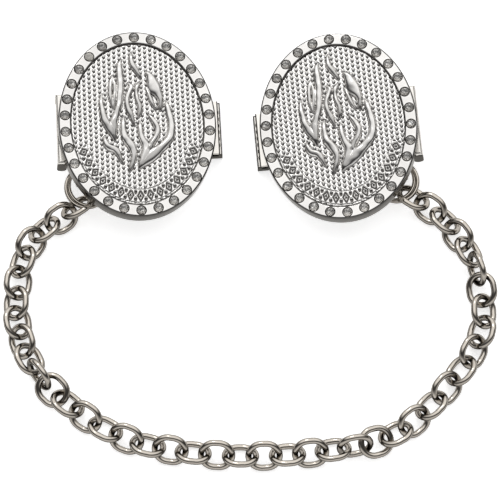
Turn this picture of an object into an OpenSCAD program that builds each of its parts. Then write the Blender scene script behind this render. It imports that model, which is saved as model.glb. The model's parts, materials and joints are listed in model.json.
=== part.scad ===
// Pair of oval clips joined by a cable chain, laid flat on a table.
// Millimetres. X runs from the left clip to the right one, Y from the chain's lowest
// bend to the clips, Z up from the table. The origin is on the table under the middle.

/* [Face plate] */
// Width of the oval plate
plate_w = 32.8; // [30:0.2:34]
// Length of the oval plate
plate_l = 40.6; // [38:0.2:42]
// Height of the plate's side wall
plate_h = 3.2; // [2.8:0.1:3.6]
// Width of the flat polished rim that carries the stones
rim_w = 2.45; // [2.4:0.05:3]
// Depth of the sunk field inside the rim
field_depth = 0.7; // [0.4:0.1:1]
// Thickness of the pressed metal of the plate
plate_t = 1.1; // [0.8:0.1:1.4]

/* [Stones] */
// Number of round crystals in the rim
stone_count = 30; // [20:1:30]
// Diameter of one crystal
stone_d = 2.1; // [1.6:0.1:2.2]

/* [Clip mechanism] */
// Sheet thickness of the back channel and the lever
sheet_t = 0.8; // [0.6:0.1:1]
// Reach of the back channel from the plate's middle to its thumb end
thumb_reach = 17.3; // [17:0.1:17.6]
// Reach of the lever from the plate's middle to its jaw end
jaw_reach = 17.2; // [17:0.1:17.5]
// Width of the channel over its ears
channel_w = 15.5; // [15.2:0.1:16]
// Width of the jaws
jaw_w = 11.6; // [10:0.2:12]
// Width of the lever's thumb end, between the ears
thumb_w = 11.2; // [10:0.2:11.4]
// Distance of the hinge pin from the plate's middle, towards the thumb end
hinge_back = 5; // [4.8:0.1:5.2]
// Height of the hinge pin over the table
hinge_z = 3.6; // [3.6:0.1:3.8]
// Diameter of the hinge pin
pin_d = 1.5; // [1.2:0.1:1.6]
// How far the plate leans at rest, with its thumb side up
plate_tilt = 7.5; // [6.5:0.5:8]

/* [End ring] */
// Outer diameter of the split ring that joins clip and chain
ring_d = 9.7; // [9.4:0.1:9.9]
// Thickness of the ring's wire, which is wound twice
ring_wire = 0.8; // [0.7:0.05:0.85]

/* [Chain] */
// Outer length of a link
link_l = 7.6; // [7.5:0.05:7.7]
// Outer width of a link
link_w = 6.7; // [6.6:0.05:6.8]
// Thickness of the link's wire
link_wire = 1.3; // [1.2:0.05:1.3]
// How far most links lean over on their long axis, to one side and the other in turn
link_lean = 39; // [36:1:42]

/* [Hidden] */
$fn = 48;
LINKS = 42;
SIDES = ["left", "right"];
CLIP_PIECES = ["plate", "stones", "lever", "pin", "spring", "spring_arm", "ring"];

// How far a cut runs past the metal, and how far two joined boxes share it
PAST = 1;

// Where each clip's plate has its middle, and how far the clip is turned on the table
clip_middle = [[-23.3, 25.6], [18.2, 25.2]];
clip_turn = [3.2, 5.2];

// The middle of the whole object, which the origin stands under
whole_middle = [-0.04, -0.05];

// Table-top route of the chain through the middle of every third link, link 1 first,
// with the point in the left clip that it comes from
route_start = [-27.3, 15];
route = [
    [-35.9, 9.1], [-45.3, 1.4], [-48, -11.4], [-45, -23.2], [-37, -32.5],
    [-25, -39.7], [-11.5, -42.6], [2.8, -43.2], [16.7, -42], [29.4, -38.7],
    [39.9, -29.3], [47.3, -17.5], [46.6, -4.3], [40.4, 6.3], [30.4, 13.6]
];
LINKS_PER_STRETCH = 3;

// Each twist in the chain swaps the side on which the odd links are high. It comes after
// these links.
chain_twists = [11, 26, 37];

// Links that lie otherwise, in the left ring or beside a twist, as [link, lean, height,
// dip]. The steep ones stand on the table, and the flat ones lie across their neighbours.
twisted_links = [
    [1, 48, 2.66, 0],
    [11, 74, 3.25, 0], [12, 18, 2.3, 8],
    [26, 64, 3.08, 0], [27, 18, 2.35, 10],
    [36, -28, 2.45, -9], [37, -74, 3.25, 0]
];

// Oval plate, measured square to its face with the hinge axis at rest
OVAL_POINTS = 96;
plate_top = 9.2;
plate_bottom = plate_top - plate_h;
wall_t = 1;
rim_under = field_depth + plate_t;
field_a = plate_w / 2 - rim_w;
field_b = plate_l / 2 - rim_w;

// Stones sit in drilled seats in the middle of the rim
seat_gap = 0.05;
seat_depth = 0.5;
stone_rise = 0.32;
stone_girdle = 0.08;
stone_table = 0.55;
stone_inset = [1.35, 1.3];
stone_a = plate_w / 2 - stone_inset.x;
stone_b = plate_l / 2 - stone_inset.y;
STONE_PHASE = 0.5;
ARC_STEP = 2;

// Back channel: web soldered under the side wall, ears turned down from it. The web's
// end over the lever's lip is the upper jaw.
solder_depth = 0.1;
web_z = plate_bottom - sheet_t + solder_depth;
thumb_x = -thumb_reach;
upper_jaw_short = 0.6;
web_jaw_x = jaw_reach - upper_jaw_short;
hinge_x = -hinge_back;
ear_r = 1.6;
ear_y = channel_w / 2 - sheet_t;
ear_low_z = 1.4;
ear_low_w = 2;
ear_arch_z = 4.1;
neck_x = hinge_x + ear_r;

// Lever: base on the table, cheeks at the hinge, lip at the jaw
lever_thumb_short = 0.9;
lever_thumb_x = thumb_x + lever_thumb_short;
lip_h = 2.15;
cheek_r = 1.5;
cheek_y = thumb_w / 2 - sheet_t;
cheek_foot = 3.2;
wall_h = 1.5;
wall_x = neck_x + 1;
tooth_w = 0.7;
tooth_depth = 0.6;
tooth_pitch = 1.45;
TEETH = 7;

// Hinge pin, running in the lever and held in the ears
ear_clearance = 0.02;
lever_clearance = 0.05;
head_r = 1.15;
head_t = 0.35;
head_gap = 0.05;

// Torsion spring on the pin: a coil, an arm under the web and an arm on the lever
spring_wire = 0.7;
arm_wire = 0.6;
spring_r = 1.25;
spring_half = 3.1;
arm_gap = 0.1;
arm_reach = 8;
arm_slope = 8.5;

// Wire hook under the plate's edge, which the ring hangs in. From the ear it runs down,
// out under the ring, up again and out under the side wall to a tip that shows.
hook_wire = 0.9;
hook_angle = 222.5;
hook_in = 9.8;
hook_out = 13.5;
hook_tip = 18.5;
hook_low = 0.5;
hook_high = 5.65;
hook_bend = 0.9;

// End ring: two turns, the upper one pushed outward over the lower one
ring_r = (ring_d - ring_wire) / 2;
ring_reach = 15.6;
ring_angle = 225.5;
ring_z = 2.45;
ring_tilt = 3;
turn_rise = 0.7;
turn_shift = 0.5;

// Link: two half rings with a short straight between them on each side
wire_r = link_wire / 2;
bend_r = link_w / 2 - wire_r;
straight = link_l - link_w;

PLATE_COLOUR = "gainsboro";
SPRING_COLOUR = "silver";
STONE_COLOUR = "aliceblue";
RING_COLOUR = "darkgray";
LINK_COLOUR = "lightgray";

function link_name(i) = str("link_", i < 10 ? "0" : "", i);

function oval(a, b) = [
    for (i = [0 : OVAL_POINTS - 1])
        [a * cos(360 * i / OVAL_POINTS), b * sin(360 * i / OVAL_POINTS)]
];

// Length of the stones' oval from angle 0, as [length, angle] for lookup
function oval_piece(d) = norm([
    stone_a * (cos(d + ARC_STEP) - cos(d)),
    stone_b * (sin(d + ARC_STEP) - sin(d))
]);
arc_table = [
    for (d = 0, run = 0; d <= 360; run = run + oval_piece(d), d = d + ARC_STEP)
        [run, d]
];
oval_length = arc_table[len(arc_table) - 1][0];
function stone_place(i) =
    let (angle = lookup(oval_length * (i + STONE_PHASE) / stone_count, arc_table))
    [stone_a * cos(angle), stone_b * sin(angle)];

// Smooth curve through the route's points, by uniform Catmull-Rom stretches
function route_point(i) =
    i < 0 ? route_start
    : i >= len(route) ? 2 * route[len(route) - 1] - route[len(route) - 2]
    : route[i];
function blend(p0, p1, p2, p3, t) = 0.5 * (
    2 * p1 + (p2 - p0) * t
    + (2 * p0 - 5 * p1 + 4 * p2 - p3) * t ^ 2
    + (3 * p1 - p0 - 3 * p2 + p3) * t ^ 3
);
function on_route(s) =
    let (i = floor(s))
    blend(route_point(i - 1), route_point(i), route_point(i + 1), route_point(i + 2), s - i);
function link_place(i) = on_route((i - 1) / LINKS_PER_STRETCH);
function link_heading(i) =
    let (step = link_place(i + 1) - link_place(i - 1))
    atan2(step.y, step.x);

// Positive lean lifts the strand on the inner side of the loop
function twists_before(i) = len([for (t = chain_twists) if (i > t) t]);
function usual_lean(i) = (i + twists_before(i)) % 2 == 1 ? link_lean : -link_lean;
usual_height = wire_r + bend_r * sin(link_lean);
// How link i lies, as [lean, height, dip of its forward end]
function lie_of(i) =
    let (found = search(i, twisted_links))
    len(found) > 0
        ? [for (k = [1 : 3]) twisted_links[found[0]][k]]
        : [usual_lean(i), usual_height, 0];

// The hinge axis stands still while the plate leans, so the dish is set back by this much
// to bring its middle over the middle of the clip
lean_shift = hinge_x * (1 / cos(plate_tilt) - 1) + (plate_top - hinge_z) * tan(plate_tilt);

// Places a clip built with its thumb end at -X; the right clip is its mirror image
module on_clip(side) {
    translate([clip_middle[side].x - whole_middle.x, clip_middle[side].y - whole_middle.y, 0])
        rotate([0, 0, clip_turn[side]])
            mirror([side, 0, 0])
                children();
}

// Leans a piece that is soldered to the plate about the hinge axis
module on_plate(side) {
    on_clip(side)
        translate([hinge_x, 0, hinge_z])
            rotate([0, plate_tilt, 0])
                translate([-hinge_x, 0, -hinge_z])
                    children();
}

module dish() {
    translate([-lean_shift, 0, 0]) difference() {
        translate([0, 0, plate_bottom])
            linear_extrude(plate_h) polygon(oval(plate_w / 2, plate_l / 2));
        translate([0, 0, plate_top - field_depth])
            linear_extrude(field_depth + PAST) polygon(oval(field_a, field_b));
        translate([0, 0, plate_bottom - PAST])
            linear_extrude(plate_h - rim_under + PAST)
                polygon(oval(plate_w / 2 - wall_t, plate_l / 2 - wall_t));
        for (i = [0 : stone_count - 1])
            translate(concat(stone_place(i), plate_top - seat_depth))
                cylinder(h = seat_depth + PAST, r = stone_d / 2 + seat_gap);
    }
}

module web() {
    translate([thumb_x, -channel_w / 2, web_z])
        cube([neck_x - thumb_x, channel_w, sheet_t]);
    translate([neck_x - PAST, -jaw_w / 2, web_z])
        cube([web_jaw_x - neck_x + PAST, jaw_w, sheet_t]);
}

// One ear, drawn on the side of -Y: slab, boss round the pin and low rounded corner
module ear() {
    translate([0, -ear_y, 0])
        rotate([90, 0, 0])
            linear_extrude(sheet_t)
                difference() {
                    union() {
                        translate([thumb_x, ear_arch_z])
                            square([neck_x - thumb_x, web_z + sheet_t - ear_arch_z]);
                        translate([hinge_x, hinge_z]) circle(ear_r);
                        translate([hinge_x - ear_r, hinge_z])
                            square([2 * ear_r, web_z - hinge_z]);
                        translate([thumb_x, ear_low_z + ear_low_w / 2])
                            square([ear_low_w, web_z - ear_low_z - ear_low_w / 2]);
                        translate([thumb_x + ear_low_w / 2, ear_low_z + ear_low_w / 2])
                            circle(ear_low_w / 2);
                    }
                    translate([hinge_x, hinge_z]) circle(pin_d / 2 + ear_clearance);
                }
}

module hook_corner(r, z, from_angle) {
    translate([r, z, 0])
        rotate([0, 0, from_angle])
            rotate_extrude(angle = 90) translate([hook_bend, 0]) circle(d = hook_wire);
}

module hook_upright(r, from_z, to_z) {
    translate([r, from_z, 0])
        rotate([-90, 0, 0]) cylinder(h = to_z - from_z, d = hook_wire);
}

module hook_level(z, from_r, to_r) {
    translate([from_r, z, 0])
        rotate([0, 90, 0]) cylinder(h = to_r - from_r, d = hook_wire);
}

// Bent wire in the upright plane that points at the ring
module hook() {
    rotate([0, 0, hook_angle])
        rotate([90, 0, 0]) {
            hook_upright(hook_in, hook_low + hook_bend, hook_high);
            hook_corner(hook_in + hook_bend, hook_low + hook_bend, 180);
            hook_level(hook_low, hook_in + hook_bend, hook_out - hook_bend);
            hook_corner(hook_out - hook_bend, hook_low + hook_bend, -90);
            hook_upright(hook_out, hook_low + hook_bend, hook_high - hook_bend);
            hook_corner(hook_out + hook_bend, hook_high - hook_bend, 90);
            hook_level(hook_high, hook_out + hook_bend, hook_tip);
        }
}

module plate(side) {
    color(PLATE_COLOUR)
        on_plate(side) {
            dish();
            web();
            ear();
            mirror([0, 1, 0]) ear();
            hook();
        }
}

module stones(side) {
    color(STONE_COLOUR)
        on_plate(side)
            for (i = [0 : stone_count - 1])
                translate(concat(
                    stone_place(i) - [lean_shift, 0], plate_top - seat_depth + seat_gap
                )) {
                    cylinder(h = seat_depth + stone_girdle, r = stone_d / 2);
                    translate([0, 0, seat_depth + stone_girdle])
                        cylinder(h = stone_rise - stone_girdle, r1 = stone_d / 2, r2 = stone_table);
                }
}

// Side cheek of the lever, drawn on the side of -Y
module cheek() {
    translate([0, -cheek_y, 0])
        rotate([90, 0, 0])
            linear_extrude(sheet_t)
                difference() {
                    union() {
                        translate([hinge_x, hinge_z]) circle(cheek_r);
                        polygon([
                            [hinge_x - cheek_foot, 0], [hinge_x + cheek_foot, 0],
                            [hinge_x + cheek_r, hinge_z], [hinge_x - cheek_r, hinge_z]
                        ]);
                    }
                    translate([hinge_x, hinge_z]) circle(pin_d / 2 + lever_clearance);
                }
}

module lever(side) {
    color(PLATE_COLOUR)
        on_clip(side) {
            translate([lever_thumb_x, -thumb_w / 2, 0])
                cube([neck_x + PAST - lever_thumb_x, thumb_w, sheet_t]);
            translate([neck_x, -jaw_w / 2, 0])
                cube([jaw_reach - neck_x, jaw_w, sheet_t]);
            for (y = [-jaw_w / 2, jaw_w / 2 - sheet_t])
                translate([wall_x, y, 0])
                    cube([jaw_reach - wall_x, sheet_t, wall_h]);
            cheek();
            mirror([0, 1, 0]) cheek();
            difference() {
                translate([jaw_reach - sheet_t, -jaw_w / 2, 0])
                    cube([sheet_t, jaw_w, lip_h]);
                for (i = [0 : TEETH - 2])
                    translate([
                        jaw_reach - 2 * sheet_t,
                        (i - (TEETH - 2) / 2) * tooth_pitch - (tooth_pitch - tooth_w) / 2,
                        lip_h - tooth_depth
                    ])
                        cube([3 * sheet_t, tooth_pitch - tooth_w, tooth_depth + PAST]);
            }
        }
}

module pin(side) {
    color(SPRING_COLOUR)
        on_clip(side)
            translate([hinge_x, 0, hinge_z])
                rotate([90, 0, 0]) {
                    cylinder(h = channel_w + 2 * head_gap, d = pin_d, center = true);
                    for (end = [0, 1])
                        mirror([0, 0, end])
                            translate([0, 0, channel_w / 2 + head_gap])
                                cylinder(h = head_t, r = head_r);
                }
}

module coil(from_y, to_y) {
    translate([hinge_x, to_y, hinge_z])
        rotate([90, 0, 0])
            difference() {
                cylinder(h = to_y - from_y, r = spring_r + spring_wire / 2);
                translate([0, 0, -PAST])
                    cylinder(h = to_y - from_y + 2 * PAST, r = spring_r - spring_wire / 2);
            }
}

// The coil with its arm under the web, which both stay with the plate
module spring(side) {
    color(SPRING_COLOUR)
        on_plate(side) {
            coil(-spring_half, spring_half);
            translate([hinge_x, -spring_half + spring_wire / 2, hinge_z + spring_r])
                rotate([0, -90, 0])
                    cylinder(h = arm_reach, d = arm_wire);
        }
}

// The coil's last turn with its arm on the lever, which both turn with the lever
module spring_arm(side) {
    color(SPRING_COLOUR)
        on_clip(side) {
            coil(spring_half + arm_gap, spring_half + arm_gap + spring_wire);
            translate([hinge_x, spring_half + arm_gap + spring_wire / 2, hinge_z])
                rotate([0, -90 - arm_slope, 0])
                    translate([-spring_r, 0, 0])
                        cylinder(h = arm_reach, d = arm_wire);
        }
}

module ring(side) {
    color(RING_COLOUR)
        on_clip(side)
            rotate([0, 0, ring_angle])
                translate([ring_reach, 0, ring_z])
                    rotate([0, ring_tilt, 0])
                        for (turn = [-0.5, 0.5])
                            translate([turn * turn_shift, 0, turn * turn_rise])
                                rotate_extrude() translate([ring_r, 0]) circle(d = ring_wire);
}

// One oval link in the XY plane, long along X
module link_ring() {
    for (turned = [0, 180])
        rotate([0, 0, turned]) {
            translate([straight / 2, 0, 0])
                rotate([0, 0, -90])
                    rotate_extrude(angle = 180) translate([bend_r, 0]) circle(wire_r);
            translate([-straight / 2, bend_r, 0])
                rotate([0, 90, 0]) cylinder(h = straight, r = wire_r);
        }
}

module link(i) {
    lie = lie_of(i);
    color(LINK_COLOUR)
        translate(concat(link_place(i) - whole_middle, lie[1]))
            rotate([0, 0, link_heading(i)])
                rotate([0, lie[2], 0])
                    rotate([lie[0], 0, 0])
                        link_ring();
}

for (side = [0, 1]) {
    plate(side);
    stones(side);
    lever(side);
    pin(side);
    spring(side);
    spring_arm(side);
    ring(side);
}
for (i = [1 : LINKS])
    link(i);
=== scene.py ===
"""Looks of two oval stone-set shawl clips joined by a cable chain.

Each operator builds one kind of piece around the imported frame. Drawing is done in
millimetres in a clip's own space, with the thumb end at -X, and scaled at the end.
"""
import json
import math

import bmesh
import bpy
import numpy as np
from mathutils import Matrix, Vector

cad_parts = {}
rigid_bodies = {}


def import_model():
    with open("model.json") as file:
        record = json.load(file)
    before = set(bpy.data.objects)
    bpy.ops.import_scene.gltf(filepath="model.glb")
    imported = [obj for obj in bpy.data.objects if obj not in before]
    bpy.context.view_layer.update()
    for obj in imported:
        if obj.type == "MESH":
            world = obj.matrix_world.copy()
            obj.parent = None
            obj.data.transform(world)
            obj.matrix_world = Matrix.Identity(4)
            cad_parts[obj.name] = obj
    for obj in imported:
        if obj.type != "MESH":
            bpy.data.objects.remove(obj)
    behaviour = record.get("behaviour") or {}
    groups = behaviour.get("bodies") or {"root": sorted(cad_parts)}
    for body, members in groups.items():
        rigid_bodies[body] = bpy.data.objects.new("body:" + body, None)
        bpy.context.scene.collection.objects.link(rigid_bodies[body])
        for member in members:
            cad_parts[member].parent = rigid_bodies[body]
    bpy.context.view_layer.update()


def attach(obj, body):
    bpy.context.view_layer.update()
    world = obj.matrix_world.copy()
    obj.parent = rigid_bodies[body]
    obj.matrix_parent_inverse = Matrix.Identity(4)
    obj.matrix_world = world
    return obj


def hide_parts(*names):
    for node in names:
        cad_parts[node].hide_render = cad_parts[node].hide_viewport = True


bl_info = {
    "name": "Shawl clips on a chain",
    "version": (1, 0, 0),
    "blender": (4, 5, 0),
    "location": "View3D > Sidebar > Clips",
    "description": "Builds two oval stone-set clips joined by a cable chain",
    "category": "Object",
}

for leftover in list(bpy.data.objects):
    bpy.data.objects.remove(leftover)
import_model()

MM = 0.001
TAU = 2 * math.pi
# Smaller than any size that is drawn
TINY = 0.01
SIDES = ("left", "right")
ROOT = "clips_and_chain"

# Sizes that the pieces share with the frame, in millimetres
PLATE_W = 32.8
PLATE_L = 40.6
PLATE_H = 3.2
PLATE_TOP = 9.2
PLATE_BOTTOM = PLATE_TOP - PLATE_H
RIM_W = 2.45
RIM_UNDER = 1.8
WALL_T = 1.0
FIELD_DEPTH = 0.7
FIELD_A = PLATE_W / 2 - RIM_W
FIELD_B = PLATE_L / 2 - RIM_W
STONES = 30
STONE_A = PLATE_W / 2 - 1.35
STONE_B = PLATE_L / 2 - 1.3
STONE_RISE = 0.32
SEAT_R = 1.1
SEAT_DEPTH = 0.5
SHEET_T = 0.8
THUMB_X = -17.3
THUMB_W = 11.2
JAW_X = 17.2
JAW_W = 11.6
CHANNEL_W = 15.5
WEB_Z = PLATE_BOTTOM - SHEET_T + 0.1
HINGE_X = -5.0
HINGE_Z = 3.6
EAR_R = 1.6
CHEEK_R = 1.5
PIN_R = 0.75
NECK_X = HINGE_X + EAR_R
PLATE_TILT = math.radians(7.5)
LEAN_SHIFT = (
    HINGE_X * (1 / math.cos(PLATE_TILT) - 1)
    + (PLATE_TOP - HINGE_Z) * math.tan(PLATE_TILT)
)
CLIP_MIDDLE = ((-23.3, 25.6), (18.2, 25.2))
CLIP_TURN = (math.radians(3.2), math.radians(5.2))
WHOLE_MIDDLE = (-0.04, -0.05)


# Places

def clip_place(side):
    """Matrix from a clip's drawing space to the row frame."""
    x, y = CLIP_MIDDLE[side]
    spot = Matrix.Translation((x - WHOLE_MIDDLE[0], y - WHOLE_MIDDLE[1], 0))
    turn = Matrix.Rotation(CLIP_TURN[side], 4, "Z")
    flip = Matrix.Scale(-1, 4, (1, 0, 0)) if side else Matrix()
    return Matrix.Scale(MM, 4) @ spot @ turn @ flip


def plate_place(side):
    """Matrix from the flat plate's drawing space to the row frame."""
    hinge = Vector((HINGE_X, 0, HINGE_Z))
    lean = (
        Matrix.Translation(hinge)
        @ Matrix.Rotation(PLATE_TILT, 4, "Y")
        @ Matrix.Translation(-hinge)
    )
    return clip_place(side) @ lean


def dish_place(side):
    """The plate's space with its middle at the middle of the oval."""
    return plate_place(side) @ Matrix.Translation((-LEAN_SHIFT, 0, 0))


# Mesh helpers

# Width over which the tone changes where an edge's painted shade begins
TONE_STEP = 0.04


def new_piece(name, bm, place, materials, smooth=180, body=ROOT, flat_faces=False):
    """Makes an object of a drawn mesh, puts it in place and lets it ride on its body.

    Smooth is the angle in degrees over which edges stay sharp. Flat faces keep a sheet's
    broad sides flat in the light, up to its rounded edges.
    """
    bm.transform(place)
    bmesh.ops.recalc_face_normals(bm, faces=bm.faces)
    mesh = bpy.data.meshes.new(name)
    bm.to_mesh(mesh)
    bm.free()
    if smooth:
        mesh.shade_smooth()
    if 0 < smooth < 180:
        mesh.set_sharp_from_angle(angle=math.radians(smooth))
    for material in materials:
        mesh.materials.append(material)
    piece = bpy.data.objects.new(name, mesh)
    bpy.context.scene.collection.objects.link(piece)
    if flat_faces:
        piece.modifiers.new("flat faces", "WEIGHTED_NORMAL").keep_sharp = True
    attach(piece, body)
    return piece


def skin_rings(bm, rings, closed=False):
    """Joins rings of points with quads, and the last to the first or each end with a cap."""
    grown = [[bm.verts.new(p) for p in ring] for ring in rings]
    pairs = list(zip(grown, grown[1:]))
    if closed:
        pairs.append((grown[-1], grown[0]))
    else:
        bm.faces.new(grown[0])
        bm.faces.new(grown[-1])
    for one, two in pairs:
        for i in range(len(one)):
            k = (i + 1) % len(one)
            bm.faces.new((one[i], one[k], two[k], two[i]))
    return grown


def wire(path, radius, sides=16, closed=False, tip=()):
    """The mesh of a round wire along a path of points, with flat ends or ends that are joined.

    The tip gives the radii at the path's last points, where they are thinner.
    """
    points = [Vector(p) for p in path]
    count = len(points)
    radii = [radius] * (count - len(tip)) + list(tip)
    rings = []
    normal = None
    for i, here in enumerate(points):
        before = points[i - 1] if closed or i else points[0]
        after = points[(i + 1) % count] if closed or i < count - 1 else points[-1]
        along = (after - before).normalized()
        if normal is None:
            normal = along.orthogonal().normalized()
        normal = (normal - along * normal.dot(along)).normalized()
        across = along.cross(normal)
        turns = [TAU * k / sides for k in range(sides)]
        rings.append([
            here + radii[i] * (math.cos(turn) * normal + math.sin(turn) * across)
            for turn in turns
        ])
    bm = bmesh.new()
    skin_rings(bm, rings, closed)
    return bm


def arc(centre, radius, start, end, steps):
    """Points of an arc in a plane, both ends included, angles in degrees."""
    angles = [math.radians(start + (end - start) * k / steps) for k in range(steps + 1)]
    return [
        (centre[0] + radius * math.cos(angle), centre[1] + radius * math.sin(angle))
        for angle in angles
    ]


def slab(outline, low, high, upright=False):
    """A flat slab of an outline in XY, or in XZ if it stands upright, as a mesh of its own."""
    bm = bmesh.new()
    rings = [
        [(x, level, y) if upright else (x, y, level) for x, y in outline]
        for level in (low, high)
    ]
    skin_rings(bm, rings)
    bmesh.ops.recalc_face_normals(bm, faces=bm.faces)
    return bm


def box(x0, x1, y0, y1, z0, z1):
    return slab([(x0, y0), (x1, y0), (x1, y1), (x0, y1)], z0, z1)


def cross_drill(radius):
    """A drill for the hinge pin, right across the clip."""
    reach = 10
    return slab(arc((HINGE_X, HINGE_Z), radius, 0, 345, 23), -reach, reach, upright=True)


def carve(solid, others, operation):
    """Joins the other meshes to the solid, or cuts them from it."""
    held = []
    for bm in [solid, *others]:
        mesh = bpy.data.meshes.new("work")
        bm.to_mesh(mesh)
        bm.free()
        held.append(bpy.data.objects.new("work", mesh))
        bpy.context.scene.collection.objects.link(held[-1])
    for other in held[1:]:
        step = held[0].modifiers.new("step", "BOOLEAN")
        step.operation = operation
        step.object = other
        step.solver = "EXACT"
    graph = bpy.context.evaluated_depsgraph_get()
    made = bmesh.new()
    made.from_mesh(bpy.data.meshes.new_from_object(held[0].evaluated_get(graph)))
    for work in held:
        bpy.data.objects.remove(work)
    return made


def round_edges(bm, edges, width, segments):
    bmesh.ops.bevel(
        bm, geom=edges, offset=width, segments=segments, profile=0.5, affect="EDGES",
        clamp_overlap=True,
    )


def soften(bm, width, bend, is_bend):
    """Rounds the sheet's bends widely, and then every sharp edge as tumbling and plating do."""
    bmesh.ops.remove_doubles(bm, verts=bm.verts, dist=0.1 * TINY)
    bmesh.ops.dissolve_limit(bm, angle_limit=math.radians(1), verts=bm.verts, edges=bm.edges)
    bends = [e for e in bm.edges if all(is_bend(v.co) for v in e.verts)]
    round_edges(bm, bends, bend, segments=5)
    least = math.radians(30)
    sharp = [e for e in bm.edges if len(e.link_faces) == 2 and e.calc_face_angle(0) > least]
    round_edges(bm, sharp, width, segments=2)


def score(bm, planes):
    """Adds two close edges along each plane, a (point, normal), so that a tone can change there."""
    for point, normal in planes:
        for shift in (0, TONE_STEP):
            bmesh.ops.bisect_plane(
                bm, geom=[*bm.verts, *bm.edges, *bm.faces],
                plane_co=Vector(point) + shift * Vector(normal), plane_no=normal,
            )


def mark_painted_shade(bm, painted_shade_and_haze):
    """Marks how much painted shade each point of a mesh gets, for the metal's darker tone."""
    mark = bm.verts.layers.float.new("recess")
    for vert in bm.verts:
        vert[mark] = painted_shade_and_haze(vert.co)


def between(p0, p1, p2, p3, share):
    """A point of the smooth curve from p1 to p2, bent by the points before and after them."""
    return 0.5 * (
        2 * p1 + (p2 - p0) * share
        + (2 * p0 - 5 * p1 + 4 * p2 - p3) * share ** 2
        + (3 * p1 - p0 - 3 * p2 + p3) * share ** 3
    )


# Node helpers

def fill(tree, node, inputs):
    """Sets each named input of a node to a value, or links it to another node's output."""
    for name, value in inputs.items():
        if isinstance(value, bpy.types.NodeSocket):
            tree.links.new(value, node.inputs[name])
        else:
            node.inputs[name].default_value = value


def add_node(tree, kind, inputs=(), **settings):
    node = tree.nodes.new("ShaderNode" + kind)
    for name, value in settings.items():
        setattr(node, name, value)
    fill(tree, node, dict(inputs))
    return node


def new_material(name):
    """A material, its node tree and its shader."""
    made = bpy.data.materials.new(name)
    made.use_nodes = True
    return made, made.node_tree, made.node_tree.nodes["Principled BSDF"]


def noise(tree, scale, detail):
    place = add_node(tree, "TexCoord").outputs["Object"]
    node = add_node(tree, "TexNoise", {"Vector": place, "Scale": scale, "Detail": detail})
    return node.outputs["Fac"]


def split_place(tree, kind):
    """The X, Y and Z of one kind of texture coordinates."""
    place = add_node(tree, "TexCoord").outputs[kind]
    return add_node(tree, "SeparateXYZ", {"Vector": place}).outputs


def map_range(tree, value, low, high, start=0.0, end=1.0):
    """Takes a value that runs from start to end to one that runs from low to high."""
    limits = {"From Min": start, "From Max": end, "To Min": low, "To Max": high}
    return add_node(tree, "MapRange", {"Value": value, **limits}).outputs["Result"]


def ramp(tree, value, stops):
    """Colours along a value, from stops given as (place, colour)."""
    node = add_node(tree, "ValToRGB", {"Fac": value})
    elements = node.color_ramp.elements
    for place, _ in stops[1:-1]:
        elements.new(place)
    for element, (place, colour) in zip(elements, stops):
        element.position = place
        element.color = (*colour, 1)
    return node.outputs["Color"]


def blend(tree, share, under, over):
    """Lays the colour over the one under it, as far as the share says."""
    inputs = {"Factor": share, "A": under, "B": (*over, 1)}
    return add_node(tree, "Mix", inputs, data_type="RGBA").outputs["Result"]


def work_out(tree, operation, *terms):
    """A math node's result, each term a number or another node's output."""
    inputs = dict(enumerate(terms))
    return add_node(tree, "Math", inputs, operation=operation).outputs["Value"]


# Materials

# Share of the metals' light that comes back at a grazing angle
EDGE_TINT = (0.7, 0.69, 0.67)


def metal(name, colour, roughness, grain, clouding, recess=None, side_shade=0.0):
    """Plated metal with a fine grain in its gloss and faint clouding of its colour.

    A recess colour darkens the places that the mesh marks: painted shade in hollows, at edges and on
    walls, and a faint wear haze on a rim.
    Another share darkens the steep sides: a painted shade for the darker surroundings that steep sides
    reflect, with the top left bright.
    """
    made, tree, shader = new_material(name)
    clouded = [c * (1 - clouding) for c in colour]
    shade = ramp(tree, noise(tree, scale=90.0, detail=5.0), ((0.3, clouded), (0.65, colour)))
    if side_shade:
        # Painted shade: the steeper a side is by its own normal, the darker its colour.
        lean = work_out(tree, "ABSOLUTE", split_place(tree, "Normal")["Z"])
        dull = map_range(tree, lean, low=side_shade, high=0.0, start=0.25, end=0.97)
        shade = blend(tree, dull, shade, over=[c * 0.12 for c in colour])
    if recess:
        # Painted shade, and the rim's wear haze, from the marks on the mesh.
        depth = add_node(tree, "Attribute", attribute_name="recess").outputs["Fac"]
        shade = blend(tree, depth, shade, over=recess)
    fine = noise(tree, scale=2200.0, detail=4.0)
    bump = add_node(tree, "Bump", {"Strength": grain, "Distance": 0.00002, "Height": fine})
    fill(tree, shader, {
        "Metallic": 1.0,
        "Specular Tint": (*EDGE_TINT, 1),
        "Base Color": shade,
        "Roughness": map_range(tree, fine, low=roughness * 0.75, high=roughness * 1.35),
        "Normal": bump.outputs["Normal"],
    })
    return made


def sheet_metal(name, look):
    # Painted shade at the marked edges, and a little on the steep sides.
    return metal(
        name, look.colour, look.roughness, grain=0.2, clouding=0.1, recess=look.edge_shade_colour,
        side_shade=0.15,
    )


def wire_metal(name, look):
    # Painted shade: the wire's steep sides are darkened fully, beside its bright top.
    return metal(name, look.colour, look.roughness, grain=0.15, clouding=0.12, side_shade=1.0)


def crystal_glass(name, colour, milk):
    """Clear cut glass, with a trace of cloud inside."""
    made, tree, shader = new_material(name)
    cloud = noise(tree, scale=900.0, detail=3.0)
    fill(tree, shader, {
        "Transmission Weight": 1.0 - milk,
        "IOR": 1.56,
        "Base Color": ramp(tree, cloud, ((0, [c * 0.86 for c in colour]), (1, colour))),
        "Roughness": map_range(tree, cloud, low=0.01, high=0.06),
    })
    return made


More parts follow.
